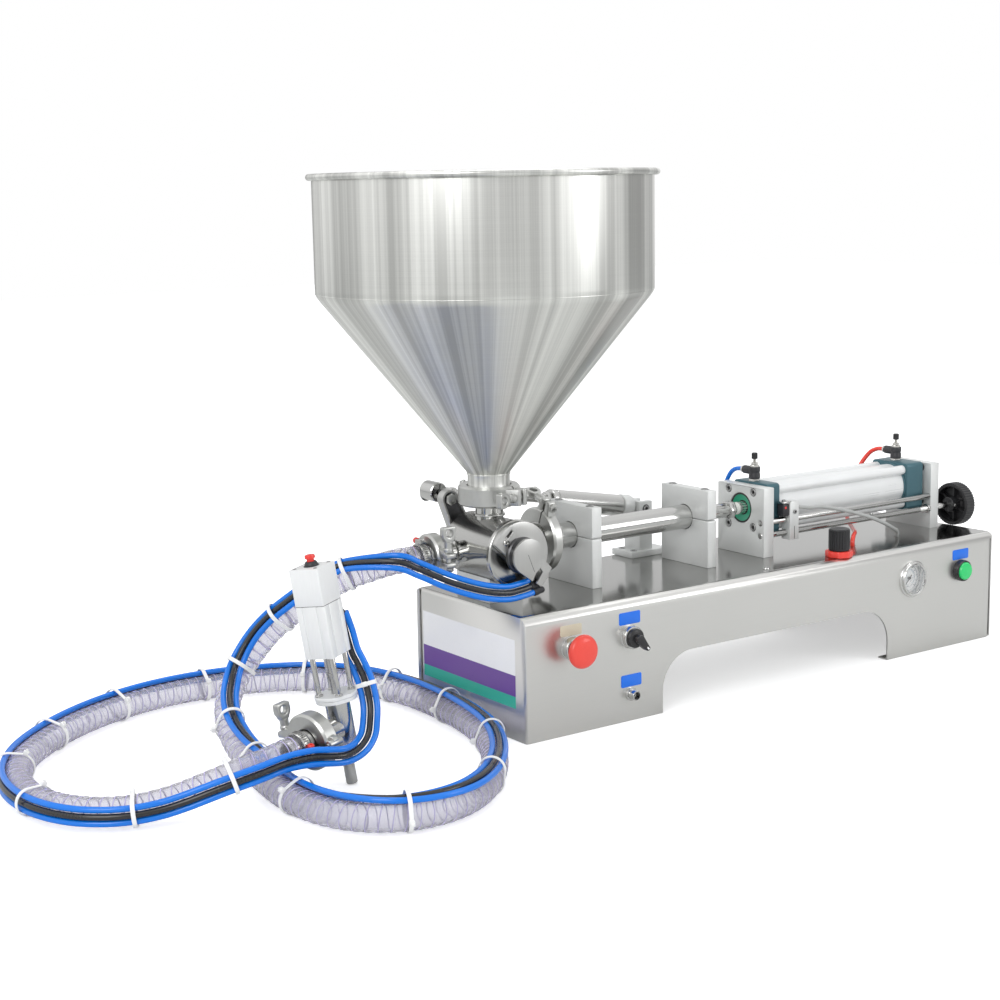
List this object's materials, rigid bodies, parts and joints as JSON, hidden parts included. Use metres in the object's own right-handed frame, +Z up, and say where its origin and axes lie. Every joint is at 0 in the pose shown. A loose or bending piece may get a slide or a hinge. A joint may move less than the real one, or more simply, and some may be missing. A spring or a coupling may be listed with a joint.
{
  "type": "piston filling machine",
  "caption": "Tabletop pneumatic piston filler with a conical hopper, a rotary plug valve, an air cylinder on a steel base, and a hand gun on a ribbed hose.",
  "frame": {"origin": "on the table, under the middle of the machine (base, hopper and handwheel; hose and gun not counted)", "axes": "+X along the machine from the hopper to the handwheel, -Y the control side, +Z up"},
  "size_m": [1.3795, 0.5987, 0.6465],
  "materials": {
    "housing_sheet": "bead-blasted satin sheet",
    "tag_print": "bare coloured tags",
    "hopper_sheet": "lightly brushed sheet",
    "gasket_rubber": "matte white silicone",
    "cast_clamp": "cast and tumbled",
    "valve_steel": "satin turned",
    "tube_steel": "polished",
    "white_block": "milled white block",
    "dark_screw": "blackened",
    "piston_white": "turned plastic",
    "seal_green": "satin",
    "head_teal": "anodised dark teal",
    "barrel_white": "anodised, near white",
    "wheel_black": "moulded",
    "fitting_mix": "moulded body with plated screws",
    "tube_colour": "polyurethane tube",
    "cable_grey": "satin",
    "collar_chrome": "plated",
    "stop_red": "moulded",
    "lens_green": "moulded lens",
    "gauge_mix": "plated case with white dial",
    "pointer_black": "matte",
    "regulator_red": "moulded",
    "valve_bank": "painted block",
    "hose_clear": "clear ribbed hose",
    "tie_white": "nylon"
  },
  "bodies": {
    "machine": {"base_housing": "housing_sheet", "labels": "tag_print", "hopper": "hopper_sheet", "ferrule_gaskets": "gasket_rubber", "ferrule_clamps": "cast_clamp", "valve_body": "valve_steel", "valve_cover": "valve_steel", "valve_stand": "white_block", "hose_tail": "valve_steel", "material_cylinder": "tube_steel", "saddle_lowers": "white_block", "saddle_uppers": "white_block", "block_screws": "dark_screw", "end_plates": "white_block", "rod_seal": "seal_green", "cylinder_heads": "head_teal", "barrel": "barrel_white", "guide_rod": "tube_steel", "sensor_cable": "cable_grey", "speed_controllers": "fitting_mix", "air_tubes": "tube_colour", "actuator_stand": "white_block", "actuator_barrel": "tube_steel", "button_collars": "collar_chrome", "pedal_socket": "collar_chrome", "gauge_case": "gauge_mix", "regulator_body": "regulator_red", "solenoid_valve": "valve_bank", "gun_head": "barrel_white", "gun_cylinder": "barrel_white", "gun_frame": "tube_steel", "gun_valve": "valve_steel", "gun_clamp": "cast_clamp", "gun_tail": "valve_steel", "hose": "hose_clear", "gun_tubes": "tube_colour", "hose_bands": "tie_white"},
    "piston": {"material_piston": "piston_white", "piston_rod": "tube_steel", "air_piston": "tube_steel"},
    "stroke_screw": {"lead_screw": "tube_steel", "handwheel": "wheel_black"},
    "sensor_carriage": {"carriage": "white_block", "reed_switch": "wheel_black"},
    "plug": {"valve_plug": "valve_steel", "crank": "valve_steel"},
    "actuator_slide": {"actuator_rod": "tube_steel"},
    "stop_plunger": {"stop_stem": "collar_chrome"},
    "stop_mushroom": {"stop_head": "stop_red"},
    "selector": {"selector_knob": "wheel_black"},
    "power": {"power_button": "lens_green"},
    "pointer": {"gauge_pointer": "pointer_black"},
    "pressure_knob": {"regulator_knob": "wheel_black"},
    "front_needle": {"needle_front": "fitting_mix"},
    "rear_needle": {"needle_rear": "fitting_mix"},
    "hopper_clamp_nut": {"hopper_nut": "cast_clamp"},
    "outlet_clamp_nut": {"outlet_nut": "cast_clamp"},
    "cylinder_clamp_nut": {"cylinder_nut": "cast_clamp"},
    "gun_press": {"gun_button": "stop_red"},
    "gun_spindle": {"gun_valve_rod": "tube_steel"}
  },
  "joints": [
    {"name": "piston_stroke", "type": "slide", "parent": "machine", "child": "piston", "axis": [-1, 0, 0], "range_m": [0, 0.19]},
    {"name": "handwheel_turn", "type": "hinge", "parent": "machine", "child": "stroke_screw", "pos_m": [0.478, -0.037, 0.175], "axis": [1, 0, 0], "range_deg": [0, 6750]},
    {"name": "carriage_travel", "type": "slide", "parent": "machine", "child": "sensor_carriage", "axis": [1, 0, 0], "range_m": [0, 0.15]},
    {"name": "plug_turn", "type": "hinge", "parent": "machine", "child": "plug", "pos_m": [-0.29, 0, 0.208], "axis": [0, 1, 0], "range_deg": [0, 50]},
    {"name": "actuator_stroke", "type": "slide", "parent": "machine", "child": "actuator_slide", "axis": [0.9845, 0, -0.1756], "range_m": [0, 0.0493]},
    {"name": "stop_push", "type": "slide", "parent": "machine", "child": "stop_plunger", "axis": [0, 1, 0], "range_m": [0, 0.004]},
    {"name": "stop_twist", "type": "hinge", "parent": "stop_plunger", "child": "stop_mushroom", "pos_m": [-0.262, -0.142, 0.104], "axis": [0, -1, 0], "range_deg": [-40, 0], "stiffness_Nm_per_rad": 0.02},
    {"name": "selector_turn", "type": "hinge", "parent": "machine", "child": "selector", "pos_m": [-0.174, -0.132, 0.103], "axis": [0, -1, 0], "range_deg": [0, 90]},
    {"name": "power_push", "type": "slide", "parent": "machine", "child": "power", "axis": [0, 1, 0], "range_m": [0, 0.003], "stiffness_N_per_m": 400},
    {"name": "pointer_turn", "type": "hinge", "parent": "machine", "child": "pointer", "pos_m": [0.312, -0.114, 0.104], "axis": [0, 1, 0], "range_deg": [0, 270]},
    {"name": "pressure_turn", "type": "hinge", "parent": "machine", "child": "pressure_knob", "pos_m": [0.195, -0.0965, 0.167], "axis": [0, 0, 1], "range_deg": [0, 720]},
    {"name": "front_needle_turn", "type": "hinge", "parent": "machine", "child": "front_needle", "pos_m": [0.1355, 0, 0.258], "axis": [0, 0, 1], "range_deg": [0, 1080]},
    {"name": "rear_needle_turn", "type": "hinge", "parent": "machine", "child": "rear_needle", "pos_m": [0.404, 0, 0.258], "axis": [0, 0, 1], "range_deg": [0, 1080]},
    {"name": "hopper_nut_turn", "type": "hinge", "parent": "machine", "child": "hopper_clamp_nut", "pos_m": [-0.29133, -0.04694, 0.272], "axis": [-0.9563, -0.2924, 0], "range_deg": [0, 720]},
    {"name": "outlet_nut_turn", "type": "hinge", "parent": "machine", "child": "outlet_clamp_nut", "pos_m": [-0.372, -0.0345, 0.223], "axis": [0, 0, 1], "range_deg": [0, 720]},
    {"name": "cylinder_nut_turn", "type": "hinge", "parent": "machine", "child": "cylinder_clamp_nut", "pos_m": [-0.216, -0.00215, 0.25777], "axis": [0, 0.9397, 0.342], "range_deg": [0, 720]},
    {"name": "gun_button_push", "type": "slide", "parent": "machine", "child": "gun_press", "axis": [0.1193, -0.0843, -0.9893], "range_m": [0, 0.003], "stiffness_N_per_m": 300},
    {"name": "gun_spindle_lift", "type": "slide", "parent": "machine", "child": "gun_spindle", "axis": [-0.1193, 0.0843, 0.9893], "range_m": [0, 0.01]}
  ],
  "couplings": [
    {"joint": "carriage_travel", "follows": "handwheel_turn", "m_per_rad": 0.0012732},
    {"joint": "actuator_stroke", "follows": "plug_turn", "m_per_rad": 0.056494}
  ]
}
